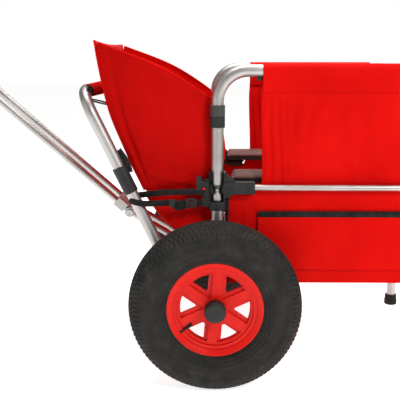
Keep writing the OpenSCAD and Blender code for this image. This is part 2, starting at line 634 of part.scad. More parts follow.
// frame along the drawbar: +Z along the bar, +X up and away from the ground
module on_bar(along) translate([knuckle.x, 0, knuckle.y]) rotate([0, bar_angle - 90, 0])
    translate([0, 0, along]) children();
bar_tube_start = 24;
bar_tube_end = bar_length - 200;
slider_r = bar_r - bar_wall - run_fit;
yoke_h = 34;
module drawbar() color([0.74, 0.73, 0.71]) {
    difference() {
        union() {
            bar_y(knuckle.x, knuckle.y, -bar_y0 + eye_half + slack, bar_y0 - eye_half - slack, eye_r);
            on_bar(0) box(-10, 10, -bar_y0 + eye_half + slack, bar_y0 - eye_half - slack, 0, 24);
            on_bar(16) box(-12, 12, -bar_y0 - bar_r - 2, bar_y0 + bar_r + 2, 0, 30);
        }
        bar_y(knuckle.x, knuckle.y, -bar_gap, bar_gap, knuckle_bolt_r + run_fit);
        for (s = [-1, 1]) on_bar(bar_tube_start) translate([0, s * bar_y0, 0]) cylinder(h = 40, r = bar_r);
    }
    for (s = [-1, 1]) on_bar(bar_tube_start) translate([0, s * bar_y0, 0])
        tube(bar_d, bar_wall, bar_tube_end - bar_tube_start);
    on_bar(bar_tube_end - yoke_h) difference() {
        box(-12, 12, -bar_y0 - bar_r - 3, bar_y0 + bar_r + 3, 0, yoke_h);
        for (s = [-1, 1]) translate([0, s * bar_y0, -1]) cylinder(h = yoke_h + 2, r = bar_r);
    }
}
// two inner rods slide in the tubes and end in the hand grip's socket
rod_overlap = 240;
module extension() color([0.7, 0.69, 0.67]) {
    for (s = [-1, 1]) on_bar(bar_tube_end - rod_overlap) translate([0, s * bar_y0, 0])
        cylinder(h = bar_length - grip_d / 2 - 2 - bar_tube_end + rod_overlap, r = slider_r);
    on_bar(bar_length - grip_d / 2 - 64) box(-9, 9, -bar_y0 - bar_r, bar_y0 + bar_r, 0, 22);
}
module hand_grip() color([0.1, 0.1, 0.1]) on_bar(bar_length) {
    translate([0, grip_length / 2, 0]) rotate([90, 0, 0]) rotate_extrude() polygon([
        [0, 0], [grip_d / 2 - 3, 0], [grip_d / 2, 3], [grip_d / 2, 16], [grip_d / 2 - 2, 22],
        [grip_d / 2 - 2, grip_length - 22], [grip_d / 2, grip_length - 16], [grip_d / 2, grip_length - 3],
        [grip_d / 2 - 3, grip_length], [0, grip_length]
    ]);
    for (s = [-1, 1]) translate([0, s * bar_y0, -grip_d / 2 - 11.5])
        ring(bar_r + 1, slider_r, grip_d / 2);
}

at_origin() tyre_left();
at_origin() tyre_right();
at_origin() rim_left();
at_origin() rim_right();
at_origin() hub_cap_left();
at_origin() hub_cap_right();
at_origin() valve_left();
at_origin() valve_right();
at_origin() axle();
at_origin() axle_tube();
at_origin() wheel_fasteners();
at_origin() rear_leg_left();
at_origin() rear_leg_right();
at_origin() rear_post_left();
at_origin() rear_post_right();
at_origin() front_posts();
at_origin() feet();
at_origin() joint_casting_left();
at_origin() joint_casting_right();
at_origin() front_castings();
at_origin() rail_sleeves();
at_origin() side_rods();
at_origin() lower_rails();
at_origin() cross_tubes();
at_origin() pivot_bolts();
at_origin() side_rail_left();
at_origin() side_rail_right();
at_origin() rail_ferrules_left();
at_origin() rail_ferrules_right();
at_origin() upper_panel_left();
at_origin() upper_panel_right();
at_origin() lower_panel_left();
at_origin() lower_panel_right();
at_origin() pocket_left();
at_origin() pocket_right();
at_origin() front_panel();
at_origin() floor_sling();
at_origin() rear_bag();
at_origin() backrest_hoop();
at_origin() backrest_panel();
at_origin() hoop_sleeves();
at_origin() crossbar_sleeve();
at_origin() wing_left();
at_origin() wing_right();
at_origin() strap_left();
at_origin() strap_right();
at_origin() buckles();
at_origin() hook_lever_left();
at_origin() hook_lever_right();
at_origin() release_button_left();
at_origin() release_button_right();
at_origin() arm_base_left();
at_origin() arm_base_right();
at_origin() arm_pad_left();
at_origin() arm_pad_right();
at_origin() arm_brackets();
at_origin() drawbar_base();
at_origin() drawbar();
at_origin() extension();
at_origin() hand_grip();
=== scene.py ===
"""Looks of the folding beach cart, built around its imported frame."""

import json
import math

import bmesh
import bpy
import numpy as np
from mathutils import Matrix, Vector, noise


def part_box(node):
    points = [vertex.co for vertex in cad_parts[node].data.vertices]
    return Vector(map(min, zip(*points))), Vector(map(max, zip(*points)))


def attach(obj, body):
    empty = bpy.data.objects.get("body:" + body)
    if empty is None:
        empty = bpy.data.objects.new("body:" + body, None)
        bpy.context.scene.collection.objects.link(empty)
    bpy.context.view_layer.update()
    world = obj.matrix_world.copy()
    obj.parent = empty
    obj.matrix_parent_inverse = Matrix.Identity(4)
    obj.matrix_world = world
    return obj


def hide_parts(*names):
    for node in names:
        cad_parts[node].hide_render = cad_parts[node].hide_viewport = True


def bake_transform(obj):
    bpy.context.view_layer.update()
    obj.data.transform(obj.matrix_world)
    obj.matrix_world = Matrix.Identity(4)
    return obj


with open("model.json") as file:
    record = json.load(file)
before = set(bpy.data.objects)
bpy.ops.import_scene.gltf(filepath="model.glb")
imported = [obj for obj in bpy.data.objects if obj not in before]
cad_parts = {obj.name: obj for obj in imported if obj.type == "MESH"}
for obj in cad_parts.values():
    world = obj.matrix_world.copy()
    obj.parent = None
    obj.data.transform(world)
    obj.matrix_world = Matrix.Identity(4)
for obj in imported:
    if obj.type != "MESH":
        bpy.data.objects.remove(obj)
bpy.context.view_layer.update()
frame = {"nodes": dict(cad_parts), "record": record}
nodes = frame["nodes"]

# ---- places, in millimetres from the axle, taken from the frame ------------------------------
AXLE = (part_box("axle")[0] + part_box("axle")[1]) / 2


def at(x, y, z):
    """A point x, y millimetres from the axle and z above the ground, in the row frame."""
    return Vector((AXLE.x + x / 1000, y / 1000, z / 1000))


def limits(node):
    """A node's lowest and highest corners, in millimetres from the axle and the ground."""
    low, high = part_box(node)
    return [((p.x - AXLE.x) * 1000, p.y * 1000, p.z * 1000) for p in (low, high)]


SIDES = {"left": -1, "right": 1}
AXLE_Z = AXLE.z * 1000
TYRE_LOW, TYRE_HIGH = limits("tyre_right")
WHEEL_Y = (TYRE_LOW[1] + TYRE_HIGH[1]) / 2
WHEEL_R = (TYRE_HIGH[2] - TYRE_LOW[2]) / 2
TYRE_HALF = (TYRE_HIGH[1] - TYRE_LOW[1]) / 2
RAIL_LOW, RAIL_HIGH = limits("side_rail_right")
FRAME_Y = (RAIL_LOW[1] + RAIL_HIGH[1]) / 2
TUBE_R = (RAIL_HIGH[1] - RAIL_LOW[1]) / 2
RAIL_Z = RAIL_HIGH[2] - TUBE_R
POST_X = RAIL_LOW[0] + TUBE_R
FRONT_X = RAIL_HIGH[0] - TUBE_R
UPPER_LOW, UPPER_HIGH = limits("upper_panel_right")
LOWER_LOW, LOWER_HIGH = limits("lower_panel_right")
POCKET_LOW, POCKET_HIGH = limits("pocket_right")
FLOOR_LOW, FLOOR_HIGH = limits("floor_sling")
BAG_HIGH = limits("rear_bag")[1]
BAG_Y = BAG_HIGH[1] - 1
PAD_LOW, PAD_HIGH = limits("arm_pad_right")
ROD_LOW, ROD_HIGH = limits("side_rods")
ROD_Z = (ROD_LOW[2] + ROD_HIGH[2]) / 2
# the backrest's pivot, and the lean of the hoop's legs from upright
PIVOT_X, PIVOT_Z = -120.0, 290.0
HOOP_LEAN = math.radians(25.5)
CROSS_LOW, CROSS_HIGH = limits("crossbar_sleeve")
CROSS_X = (CROSS_LOW[0] + CROSS_HIGH[0]) / 2
CROSS_Z = (CROSS_LOW[2] + CROSS_HIGH[2]) / 2
BUCKLE_LOW, BUCKLE_HIGH = limits("buckles")
GRIP_LOW, GRIP_HIGH = limits("hand_grip")


# ---- camera, light and floor -----------------------------------------------------------------
CAMERA_PLACE = (-16, -1842, 760)
CAMERA_LENS = 62.3
CAMERA_SENSOR = 36.0
CAMERA_DIP = 11.6  # degrees below level
CAMERA_TURN = 0.7  # degrees to the left
WORLD_GLOW = 0.2   # light from the world; the camera itself sees plain white
FLOOR_HALF = 20000
FLOOR_DROP = 0.3   # keeps the floor clear of the tyres and feet
FLOOR_GLOW = 0.8   # lifts the floor to the white of the background


def make_camera():
    data = bpy.data.cameras.new("camera")
    data.lens, data.sensor_width = CAMERA_LENS, CAMERA_SENSOR
    camera = bpy.data.objects.new("camera", data)
    camera.location = at(*CAMERA_PLACE)
    camera.rotation_euler = (math.radians(90 - CAMERA_DIP), 0, math.radians(CAMERA_TURN))
    bpy.context.scene.collection.objects.link(camera)
    bpy.context.scene.camera = camera


def area_light(name, place, target, size, power, colour=(1, 1, 1)):
    data = bpy.data.lights.new(name, "AREA")
    data.shape, data.size, data.energy, data.color = "DISK", size, power, colour
    light = bpy.data.objects.new(name, data)
    light.location = place
    light.rotation_euler = (target - place).to_track_quat("-Z", "Y").to_euler()
    bpy.context.scene.collection.objects.link(light)


def make_studio():
    middle = at(0, 0, 400)
    area_light("key", at(1500, -2100, 2200), middle, 0.9, 50)
    area_light("top", at(-100, 100, 3000), middle, 2.0, 74)
    area_light("fill", at(-2400, -1500, 1300), middle, 2.0, 8)
    area_light("back", at(900, 2500, 1900), middle, 2.0, 26)
    world = bpy.data.worlds.new("studio")
    world.use_nodes = True
    tree = world.node_tree
    soft = tree.nodes["Background"]
    soft.inputs["Color"].default_value = (1.0, 0.995, 0.985, 1)
    soft.inputs["Strength"].default_value = WORLD_GLOW
    bright = tree.nodes.new("ShaderNodeBackground")
    bright.inputs["Color"].default_value = (1, 1, 1, 1)
    seen = tree.nodes.new("ShaderNodeLightPath")
    mix = tree.nodes.new("ShaderNodeMixShader")
    tree.links.new(seen.outputs["Is Camera Ray"], mix.inputs["Fac"])
    tree.links.new(soft.outputs["Background"], mix.inputs[1])
    tree.links.new(bright.outputs["Background"], mix.inputs[2])
    tree.links.new(mix.outputs["Shader"], tree.nodes["World Output"].inputs["Surface"])
    bpy.context.scene.world = world
    bpy.context.scene.view_settings.view_transform = "Standard"
    floor = grid_sheet("floor", 2, 2, lambda u, v: at(FLOOR_HALF * (2 * u - 1), FLOOR_HALF * (2 * v - 1),
                                                      -FLOOR_DROP), 0)
    floor.data.materials.append(flat_floor())


# ---- mesh helpers ----------------------------------------------------------------------------
def link_mesh(name, points, faces, smooth=True):
    mesh = bpy.data.meshes.new(name)
    mesh.from_pydata([tuple(p) for p in points], [], faces)
    mesh.update()
    piece = bpy.data.objects.new(name, mesh)
    bpy.context.scene.collection.objects.link(piece)
    if smooth:
        mesh.polygons.foreach_set("use_smooth", [True] * len(mesh.polygons))
    return piece


def grid_faces(nu, nv, closed_u=False, closed_v=False, offset=0):
    """Quads of an nu by nv grid of points, wrapped where closed."""
    faces = []
    for i in range(nu if closed_u else nu - 1):
        for j in range(nv if closed_v else nv - 1):
            a, b = i, (i + 1) % nu
            c, d = j, (j + 1) % nv
            faces.append([offset + a * nv + c, offset + b * nv + c, offset + b * nv + d, offset + a * nv + d])
    return faces


def solidify(piece, thickness, offset=0.0):
    modifier = piece.modifiers.new("cloth", "SOLIDIFY")
    modifier.thickness = thickness
    modifier.offset = offset
    return piece


def grid_sheet(name, nu, nv, shape, thickness, smooth=True):
    """A sheet whose point at (u, v), both from 0 to 1, is shape(u, v)."""
    points = [shape(i / (nu - 1), j / (nv - 1)) for i in range(nu) for j in range(nv)]
    piece = link_mesh(name, points, grid_faces(nu, nv), smooth)
    if thickness:
        solidify(piece, thickness)
    return piece


def bake_modifiers(piece):
    """Applies the modifiers, so the mesh is final."""
    deps = bpy.context.evaluated_depsgraph_get()
    mesh = bpy.data.meshes.new_from_object(piece.evaluated_get(deps))
    piece.modifiers.clear()
    piece.data = mesh
    return piece


def ribbon(name, path, across, width, thickness, waves=0.0):
    """Webbing that follows path; across gives the width direction at each share of its length."""
    points, count = [], len(path)
    for i, p in enumerate(path):
        before, after = path[max(i - 1, 0)], path[min(i + 1, count - 1)]
        run = (after - before).normalized()
        wide = across(i / (count - 1))
        wide = (wide - run * wide.dot(run)).normalized()
        out = run.cross(wide).normalized()
        lift = waves * math.sin(i * 1.3)
        edge = width / 2 - thickness / 3
        outline = [(-edge, -1), (edge, -1), (width / 2, 0), (edge, 1), (-edge, 1), (-width / 2, 0)]
        for w, t in outline:
            points.append(p + (wide * w + out * (t * thickness / 2 + lift)) / 1000)
    faces = grid_faces(count, len(outline), closed_v=True)
    faces += [list(range(len(outline)))[::-1], [len(points) - len(outline) + k for k in range(len(outline))]]
    piece = link_mesh(name, points, faces)
    recalc(piece)
    return piece


def recalc(piece):
    mesh = bmesh.new()
    mesh.from_mesh(piece.data)
    bmesh.ops.recalc_face_normals(mesh, faces=mesh.faces)
    mesh.to_mesh(piece.data)
    mesh.free()
    return piece


def smooth_path(points, per_span=8):
    """A Catmull-Rom curve through the points."""
    found = []
    for i in range(len(points) - 1):
        a = points[max(i - 1, 0)]
        b, c = points[i], points[i + 1]
        d = points[min(i + 2, len(points) - 1)]
        for k in range(per_span):
            t = k / per_span
            found.append(0.5 * ((2 * b) + (c - a) * t + (2 * a - 5 * b + 4 * c - d) * t ** 2
                                + (3 * b - a - 3 * c + d) * t ** 3))
    found.append(points[-1])
    return found


def cord_tube(name, path, radius, sides=8):
    """A thin round piping along a path."""
    points, count = [], len(path)
    for i, p in enumerate(path):
        run = (path[min(i + 1, count - 1)] - path[max(i - 1, 0)]).normalized()
        side = run.cross(Vector((0.3, 1, 0.2))).normalized()
        up = side.cross(run)
        for k in range(sides):
            turn = 2 * math.pi * k / sides
            points.append(p + (side * math.cos(turn) + up * math.sin(turn)) * radius / 1000)
    faces = grid_faces(count, sides, closed_v=True)
    faces += [list(range(sides))[::-1], [len(points) - sides + k for k in range(sides)]]
    return recalc(link_mesh(name, points, faces))


def block(name, low, high, bevel):
    """A moulded block with rounded edges between two corners, in millimetres from the axle."""
    mesh = bmesh.new()
    bmesh.ops.create_cube(mesh, size=1)
    centre = (at(*low) + at(*high)) / 2
    size = [abs(b - a) / 1000 for a, b in zip(low, high)]
    for v in mesh.verts:
        v.co = centre + Vector([v.co[k] * size[k] for k in range(3)])
    bmesh.ops.bevel(mesh, geom=mesh.edges[:], offset=bevel / 1000, segments=3, affect="EDGES", profile=0.5)
    data = bpy.data.meshes.new(name)
    mesh.to_mesh(data)
    mesh.free()
    piece = bpy.data.objects.new(name, data)
    bpy.context.scene.collection.objects.link(piece)
    data.polygons.foreach_set("use_smooth", [True] * len(data.polygons))
    return piece


def screw_head(name, place, radius, height, side):
    """A domed screw head with a hexagon socket, facing outwards on that side."""
    mesh = bmesh.new()
    rings = [(radius, 0), (radius, 0.45 * height), (radius * 0.86, 0.85 * height), (radius * 0.6, height)]
    rows = []
    for r, h in rings + [(radius * 0.42, height), (radius * 0.42, 0.35 * height)]:
        rows.append([mesh.verts.new(place + Vector((r * math.cos(k * math.pi / 12), side * h,
                                                    r * math.sin(k * math.pi / 12))) / 1000)
                     for k in range(24)])
    for a, b in zip(rows, rows[1:]):
        for k in range(24):
            mesh.faces.new([a[k], a[(k + 1) % 24], b[(k + 1) % 24], b[k]])
    mesh.faces.new(rows[-1])
    mesh.faces.new(rows[0])
    bmesh.ops.recalc_face_normals(mesh, faces=mesh.faces)
    data = bpy.data.meshes.new(name)
    mesh.to_mesh(data)
    mesh.free()
    piece = bpy.data.objects.new(name, data)
    bpy.context.scene.collection.objects.link(piece)
    return piece


# ---- materials -------------------------------------------------------------------------------
def shader(name):
    material = bpy.data.materials.new(name)
    material.use_nodes = True
    tree = material.node_tree
    return material, tree, tree.nodes["Principled BSDF"]


def noise_node(tree, scale, detail=4.0, stretch=(1, 1, 1), rough=0.55):
    place = tree.nodes.new("ShaderNodeTexCoord")
    mapping = tree.nodes.new("ShaderNodeMapping")
    mapping.inputs["Scale"].default_value = stretch
    texture = tree.nodes.new("ShaderNodeTexNoise")
    texture.inputs["Scale"].default_value = scale
    texture.inputs["Detail"].default_value = detail
    texture.inputs["Roughness"].default_value = rough
    tree.links.new(place.outputs["Object"], mapping.inputs["Vector"])
    tree.links.new(mapping.outputs["Vector"], texture.inputs["Vector"])
    return texture.outputs["Fac"]


def ramp(tree, value, stops):
    node = tree.nodes.new("ShaderNodeValToRGB")
    while len(node.color_ramp.elements) < len(stops):
        node.color_ramp.elements.new(0.5)
    for element, (place, colour) in zip(node.color_ramp.elements, stops):
        element.position = place
        element.color = (*colour, 1)
    tree.links.new(value, node.inputs["Fac"])
    return node.outputs["Color"]


def to_range(tree, value, low, high):
    node = tree.nodes.new("ShaderNodeMapRange")
    node.inputs["To Min"].default_value = low
    node.inputs["To Max"].default_value = high
    tree.links.new(value, node.inputs["Value"])
    return node.outputs["Result"]


def bump(tree, height, strength, distance, before=None):
    node = tree.nodes.new("ShaderNodeBump")
    node.inputs["Strength"].default_value = strength
    node.inputs["Distance"].default_value = distance
    tree.links.new(height, node.inputs["Height"])
    if before is not None:
        tree.links.new(before, node.inputs["Normal"])
    return node.outputs["Normal"]


def add(tree, a, b, operation="ADD"):
    node = tree.nodes.new("ShaderNodeMath")
    node.operation = operation
    tree.links.new(a, node.inputs[0])
    tree.links.new(b, node.inputs[1])
    return node.outputs["Value"]


def wave_node(tree, scale, direction):
    place = tree.nodes.new("ShaderNodeTexCoord")
    texture = tree.nodes.new("ShaderNodeTexWave")
    texture.bands_direction = direction
    texture.inputs["Scale"].default_value = scale
    texture.inputs["Distortion"].default_value = 0.4
    tree.links.new(place.outputs["Object"], texture.inputs["Vector"])
    return texture.outputs["Fac"]


def cloth_material(name, dark, mid, light, sheen=0.12):
    """Coated woven polyester: slow colour drift, small creases and a fine plain weave."""
    material, tree, bsdf = shader(name)
    drift = noise_node(tree, 5.5, 3)
    tree.links.new(ramp(tree, drift, [(0.3, dark), (0.5, mid), (0.72, light)]), bsdf.inputs["Base Color"])
    tree.links.new(to_range(tree, noise_node(tree, 40, 3), 0.5, 0.68), bsdf.inputs["Roughness"])
    creases = bump(tree, noise_node(tree, 17, 5, (1, 1, 0.6)), 0.34, 0.012)
    weave = add(tree, wave_node(tree, 420, "X"), wave_node(tree, 420, "Z"), "MULTIPLY")
    tree.links.new(bump(tree, weave, 0.22, 0.0006, creases), bsdf.inputs["Normal"])
    bsdf.inputs["Sheen Weight"].default_value = sheen
    bsdf.inputs["Sheen Roughness"].default_value = 0.45
    bsdf.inputs["Sheen Tint"].default_value = (1.0, 0.35, 0.3, 1)
    bsdf.inputs["Specular IOR Level"].default_value = 0.03
    return material


def webbing_material():
    """Black nylon webbing with its ribbed weave and a little dust."""
    material, tree, bsdf = shader("webbing_black")
    tree.links.new(ramp(tree, noise_node(tree, 60, 3), [(0.35, (0.008, 0.008, 0.008)),
                                                         (0.7, (0.024, 0.021, 0.02))]),
                   bsdf.inputs["Base Color"])
    bsdf.inputs["Roughness"].default_value = 0.62
    rib = add(tree, wave_node(tree, 260, "X"), wave_node(tree, 500, "Z"), "MULTIPLY")
    tree.links.new(bump(tree, rib, 0.6, 0.0007), bsdf.inputs["Normal"])
    bsdf.inputs["Sheen Weight"].default_value = 0.03
    bsdf.inputs["Specular IOR Level"].default_value = 0.12
    return material


def tube_material():
    """Brushed, slightly oxidised aluminium tube with faint draw marks in its roughness."""
    material, tree, bsdf = shader("tube_aluminium")
    blotch = noise_node(tree, 9, 5)
    tree.links.new(ramp(tree, blotch, [(0.3, (0.36, 0.34, 0.325)), (0.55, (0.46, 0.44, 0.425)),
                                       (0.75, (0.53, 0.51, 0.495))]), bsdf.inputs["Base Color"])
    marks = noise_node(tree, 60, 3, (1, 1, 0.08))
    tree.links.new(to_range(tree, add(tree, marks, blotch, "MULTIPLY"), 0.4, 0.56), bsdf.inputs["Roughness"])
    bsdf.inputs["Metallic"].default_value = 1.0
    return material


def steel_material():
    """Zinc-plated steel with a cloudy spangle."""
    material, tree, bsdf = shader("zinc_steel")
    cloud = noise_node(tree, 130, 3)
    tree.links.new(ramp(tree, cloud, [(0.35, (0.36, 0.36, 0.37)), (0.65, (0.6, 0.6, 0.6))]),
                   bsdf.inputs["Base Color"])
    tree.links.new(to_range(tree, cloud, 0.28, 0.5), bsdf.inputs["Roughness"])
    bsdf.inputs["Metallic"].default_value = 1.0
    return material


def moulded_material(name, dark, light, rough_low, rough_high, grain=0.25, gloss=0.25, scale=900):
    """Injection-moulded plastic: faint mottling, fine spark-eroded grain."""
    material, tree, bsdf = shader(name)
    tree.links.new(ramp(tree, noise_node(tree, 22, 4), [(0.3, dark), (0.7, light)]),
                   bsdf.inputs["Base Color"])
    tree.links.new(to_range(tree, noise_node(tree, 70, 4), rough_low, rough_high), bsdf.inputs["Roughness"])
    tree.links.new(bump(tree, noise_node(tree, scale, 2), grain, 0.0004), bsdf.inputs["Normal"])
    bsdf.inputs["Specular IOR Level"].default_value = gloss
    return material


def rubber_material(name, dark, light, dust):
    """Rubber with road dust held in its hollows."""
    material, tree, bsdf = shader(name)
    grime = noise_node(tree, 30, 6, rough=0.7)
    tree.links.new(ramp(tree, grime, [(0.38, dark), (0.6, light), (0.8, dust)]), bsdf.inputs["Base Color"])
    tree.links.new(to_range(tree, grime, 0.55, 0.8), bsdf.inputs["Roughness"])
    tree.links.new(bump(tree, noise_node(tree, 480, 3), 0.3, 0.0006), bsdf.inputs["Normal"])
    bsdf.inputs["Specular IOR Level"].default_value = 0.16
    return material


def flat_floor():
    material, tree, bsdf = shader("pale_floor")
    tree.links.new(ramp(tree, noise_node(tree, 2, 2), [(0.3, (0.86, 0.86, 0.85)), (0.7, (0.9, 0.9, 0.89))]),
                   bsdf.inputs["Base Color"])
    bsdf.inputs["Roughness"].default_value = 0.9
    bsdf.inputs["Emission Color"].default_value = (1, 1, 1, 1)
    bsdf.inputs["Emission Strength"].default_value = FLOOR_GLOW
    return material


RED = cloth_material("cloth_red", (0.52, 0.0022, 0.0016), (0.6, 0.0032, 0.002), (0.66, 0.005, 0.003), 0.01)
# a darker copy of the same red cloth: painted shade for the wings' outer faces, which flare outwards and face
# down
RED_PAINTED_SHADE = cloth_material("cloth_red_painted_shade", (0.37, 0.0014, 0.001), (0.43, 0.002, 0.0013),
                           (0.49, 0.003, 0.002), 0.01)
RED_HEM = cloth_material("cloth_red_hem", (0.5, 0.0022, 0.0016), (0.6, 0.0035, 0.0022),
                         (0.68, 0.006, 0.0035), 0.02)
WEBBING = webbing_material()
TUBE = tube_material()
STEEL = steel_material()
BLACK = moulded_material("moulded_black", (0.012, 0.012, 0.012), (0.024, 0.024, 0.023), 0.38, 0.55)
GREY = moulded_material("moulded_grey", (0.04, 0.04, 0.04), (0.065, 0.064, 0.062), 0.4, 0.55)
RIM_RED = moulded_material("rim_red", (0.6, 0.008, 0.005), (0.7, 0.014, 0.008), 0.28, 0.42, 0.1, 0.14)
BUTTON_RED = moulded_material("button_red", (0.6, 0.01, 0.008), (0.7, 0.02, 0.012), 0.3, 0.4, 0.1, 0.2)
PAD = moulded_material("arm_pad_skin", (0.11, 0.05, 0.042), (0.19, 0.088, 0.074), 0.42, 0.6, 0.6, 0.15, 260)
FOAM = rubber_material("grip_foam", (0.008, 0.008, 0.008), (0.016, 0.016, 0.016), (0.03, 0.03, 0.029))
FOOT = rubber_material("foot_rubber", (0.01, 0.01, 0.01), (0.018, 0.017, 0.016), (0.06, 0.055, 0.05))
TYRE = rubber_material("tyre_rubber", (0.012, 0.0115, 0.0105), (0.024, 0.0225, 0.02), (0.06, 0.054, 0.046))


def dress(piece, material):
    piece.data.materials.clear()
    piece.data.materials.append(material)
    return piece


def paint_cad_nodes():
    """Gives every CAD node that stays its own material."""
    by_slot = {"aluminium_tube": TUBE, "steel": STEEL, "black_plastic": BLACK, "grey_plastic": GREY,
               "rim_plastic": RIM_RED, "red_plastic": BUTTON_RED, "pad_skin": PAD, "grip_foam": FOAM,
               "foot_rubber": FOOT, "tyre_rubber": TYRE, "red_cloth": RED, "dark_red_cloth": RED,
               "black_webbing": WEBBING}
    for part in frame["record"]["subparts"]:
        node = nodes[part["node"]]
        if not node.material_slots:
            node.data.materials.append(by_slot[part["material_slot"]])
        for held in node.material_slots:
            held.material = by_slot[part["material_slot"]]


# ---- wheels ----------------------------------------------------------------------------------
BEAD_R = 101.3
TYRE_MID = (WHEEL_R + BEAD_R) / 2 + 2
TYRE_TURN = math.radians(135)
TREAD_TURN = math.radians(66)
LUGS = 104
LUG_DEPTH = 3.2
LUG_ROWS = (0.16, 0.42, 0.68)


def rounder(v):
    return math.copysign(abs(v) ** 0.8, v)


def step(value, edge, soft):
    """0 below the edge, 1 above it, with a short ramp."""
    return min(max((value - edge) / soft + 0.5, 0), 1)


def tread_cut(turn, around):
    """How deep the tread is cut at a place across (turn) and around the tyre, from 0 to 1."""
    side = abs(turn) / TREAD_TURN
    if side > 1.04:
        return 0
    row = sum(side > edge for edge in LUG_ROWS)
    phase = (around * LUGS / (2 * math.pi) + (0.5 if row % 2 else 0) + (0.25 if turn > 0 else 0)) % 1
    slot = 1 - step(abs(phase - 0.5), 0.17 + 0.05 * side, 0.14)
    slot *= step(side, 0.1, 0.05) * (1 - step(side, 1.0, 0.06))
    groove = max(1 - step(abs(side - edge), 0.022, 0.03) for edge in LUG_ROWS)
    return max(slot, groove)


def sidewall_lift(radius):
    """Raised rings on the sidewall, in millimetres."""
    lift = 0
    for ring, height, half in ((118, 1.6, 2.2), (126, 0.8, 1.2), (134, 1.2, 1.6), (149, 0.9, 1.2),
                               (166, 1.0, 1.4)):
        lift += 1.6 * height * (1 - step(abs(radius - ring), half, 1.2))
    return lift


def make_tyre(side):
    sg, around_steps, across_steps = SIDES[side], LUGS * 6, 104
    points = []
    high = WHEEL_R - TYRE_MID
    for i in range(around_steps):
        around = 2 * math.pi * i / around_steps
        for j in range(across_steps):
            turn = TYRE_TURN * (2 * j / (across_steps - 1) - 1)
            ca, sa = rounder(math.cos(turn)), rounder(math.sin(turn))
            depth = LUG_DEPTH * tread_cut(turn, around)
            r = TYRE_MID + (high - depth) * ca
            y = (TYRE_HALF - 1.7 - depth * 0.5) * sa
            if abs(turn) > TREAD_TURN:
                out = 1 if turn > 0 else -1
                y += out * sidewall_lift(r)
            points.append(at(r * math.sin(around), sg * WHEEL_Y + y, AXLE_Z + r * math.cos(around)))
    faces = grid_faces(around_steps, across_steps, closed_u=True)
    # the bead tucks in behind the rim's flanges
    start = len(points)
    for i in range(around_steps):
        around = 2 * math.pi * i / around_steps
        for y in (-26, 26):
            points.append(at(BEAD_R * math.sin(around), sg * WHEEL_Y + y, AXLE_Z + BEAD_R * math.cos(around)))
    for i in range(around_steps):
        k = (i + 1) % around_steps
        faces.append([i * across_steps, k * across_steps, start + 2 * k, start + 2 * i])
        faces.append([start + 2 * i + 1, start + 2 * k + 1, k * across_steps + across_steps - 1,
                      i * across_steps + across_steps - 1])
        faces.append([start + 2 * i, start + 2 * k, start + 2 * k + 1, start + 2 * i + 1])
    piece = recalc(link_mesh("tyre_tread_" + side, points, faces))
    dress(piece, TYRE)
    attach(piece, "wheel_" + side)
    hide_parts("tyre_" + side)


# ---- cloth: side panels ----------------------------------------------------------------------
CLOTH_T = 1.5


def fold(x, z, seed, wave=1.0):
    """Soft vertical folds, in millimetres out of the sheet."""
    slow = noise.noise(Vector((x / (62 * wave), z / 420, seed)))
    quick = noise.noise(Vector((x / (27 * wave), z / 260, seed + 7.3)))
    return 5.2 * slow + 1.7 * quick


# soft ridges in the hanging cloth: place along the hem seam, half width, slant, height
RIDGES = ((9, 5, 0.01, 3.2), (27, 7, 0.03, 5.5), (44, 6, 0.05, 4.5), (62, 8, 0.02, 3.4),
          (104, 15, -0.2, 4.6), (150, 20, -0.3, 4.2), (196, 16, 0.12, 3.6), (238, 22, 0.26, 4.4),
          (292, 12, 0.06, 4), (330, 8, 0, 4.6))


def pleats(along, below, seed):
    """Folds that hang from the hem seam, sharpest near the cloth's rear edge."""
    height = -2.2
    for place, half, slant, tall in RIDGES:
        shift = place + below * slant + 5 * noise.noise(Vector((below / 90, place / 37, seed)))
        fade = min(1, 0.25 + below / 70) * (1 - 0.35 * max(0, below / 220))
        height += tall * fade * math.exp(-((along - shift) / half) ** 2)
    return height + 3 * noise.noise(Vector((along / 120, below / 150, seed + 5)))


def make_upper_panel(side):
    """The cloth goes up outside the rail, over it and down inside to a sewn hem."""
    sg = SIDES[side]
    x1, x2 = UPPER_LOW[0], UPPER_HIGH[0]
    wrap_r = TUBE_R + 1.2
    bottom = UPPER_LOW[2] + 1
    hem_low = RAIL_Z - 52

    def shape(u, v):
        x = x1 + (x2 - x1) * u
        if v < 0.72:
            share = v / 0.72
            z = bottom + (RAIL_Z - bottom) * share
            from_top = RAIL_Z - z
            lean = wrap_r * max(0.0, 1 - from_top / 95) ** 1.6
            loose = min(1, max(0, from_top - 40) / 40) * min(1, (z - bottom) / 45 + 0.2)
            y = lean + pleats(x - x1, from_top - 50, 3.1 if sg < 0 else 9.4) * loose
            y = min(y, 3.5) if from_top > 215 else y
            y += 1.5 * math.exp(-((from_top - 50) / 4) ** 2)
            x += 2.5 * math.sin(z / 60) * (1 - 2 * u) * loose
        elif v < 0.9:
            turn = math.pi * (v - 0.72) / 0.18
            z = RAIL_Z + wrap_r * math.sin(turn)
            y = wrap_r * math.cos(turn)
        else:
            share = (v - 0.9) / 0.1
            z = RAIL_Z - (RAIL_Z - hem_low) * share
            y = -wrap_r + (wrap_r - 3) * share ** 0.6
        return at(x, sg * (FRAME_Y + y), z)

    piece = grid_sheet("side_cloth_" + side, 130, 90, shape, CLOTH_T / 1000)
    dress(piece, RED)
    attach(piece, "rail_" + side)
    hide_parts("upper_panel_" + side)
    seam_lean = wrap_r * (1 - 50 / 95) ** 1.6
    seam = [at(x1 + 3 + (x2 - x1 - 6) * k / 60, sg * (FRAME_Y + seam_lean + 2.6), RAIL_Z - 50)
            for k in range(61)]
    stitches("rail_hem_stitches_" + side, seam, Vector((0, sg, 0)), "rail_" + side)


